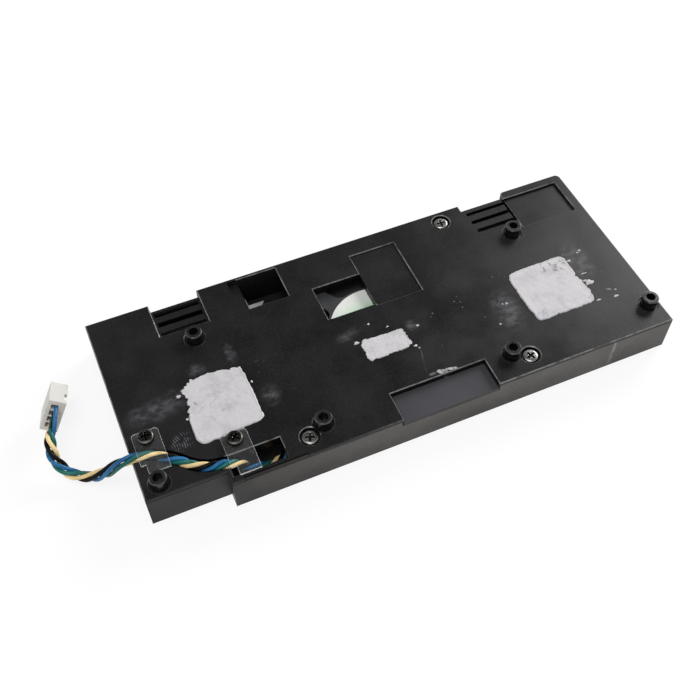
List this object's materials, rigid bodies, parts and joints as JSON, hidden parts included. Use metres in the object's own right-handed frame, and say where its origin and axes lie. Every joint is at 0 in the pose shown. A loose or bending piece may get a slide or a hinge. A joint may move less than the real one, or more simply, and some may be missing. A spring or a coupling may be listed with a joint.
{
  "type": "blower cooler",
  "caption": "Flat blower cooler for an expansion card: ducted housing, board-side base plate with tapped posts, radial blower, fins and a free cable with connector.",
  "frame": {"origin": "middle of the housing's outline, on the surface that the intake side lies on", "axes": "+X along the long side to the right in the picture, +Y to the edge with two notches, +Z from the intake side to the board side"},
  "size_m": [0.1673, 0.0614, 0.0151],
  "materials": {
    "plate_paint": "satin black paint over die-cast metal, lightly scuffed",
    "post_black": "black finish over steel",
    "housing_paint": "satin black paint",
    "fin_aluminium": "bare stamped aluminium",
    "frame_metal": "grey satin",
    "label_film": "white film, bare",
    "screw_black": "black oxide",
    "screw_steel": "zinc plated",
    "brass": "turned",
    "bronze": "sintered",
    "black_plastic": "moulded",
    "board_green": "solder mask",
    "chip_black": "moulded",
    "core_steel": "stamped laminations",
    "copper_wire": "enamelled copper",
    "shaft_steel": "ground",
    "cup_steel": "zinc plated, drawn",
    "magnet_black": "bonded magnet",
    "impeller_plastic": "moulded, fine satin",
    "clear_plastic": "thin clear film",
    "wire_cover": "smooth insulation in black, yellow, green and blue",
    "white_plastic": "moulded nylon",
    "tin_plate": "tin plated",
    "compound": "dry thermal compound, rough"
  },
  "bodies": {
    "root": {"base_plate": "plate_paint", "board_posts": "post_black", "housing": "housing_paint", "fin_bank_left": "fin_aluminium", "fin_bank_right": "fin_aluminium", "fan_frame": "frame_metal", "fan_label": "label_film", "shroud_screws": "screw_steel", "fan_screws": "screw_steel", "clip_screws": "screw_black", "bearing_tube": "brass", "sleeve_bearing": "bronze", "thrust_pad": "black_plastic", "circuit_board": "board_green", "motor_driver": "chip_black", "stator_core": "core_steel", "stator_coils": "copper_wire", "cable_clip_left": "clear_plastic", "cable_clip_right": "clear_plastic", "fan_leads": "wire_cover", "cable_inner": "wire_cover", "cable": "wire_cover", "connector_housing": "white_plastic", "connector_terminals": "tin_plate", "compound_left": "compound", "compound_middle": "compound", "compound_right": "compound"},
    "rotor": {"impeller": "impeller_plastic", "rotor_yoke": "cup_steel", "magnet_ring": "magnet_black", "rotor_shaft": "shaft_steel", "shaft_clip": "shaft_steel"}
  },
  "joints": [
    {"name": "fan_spin", "type": "hinge", "parent": "root", "child": "rotor", "pos_m": [0.00035, 0.00115, 0.004], "axis": [0, 0, 1], "continuous": true}
  ]
}
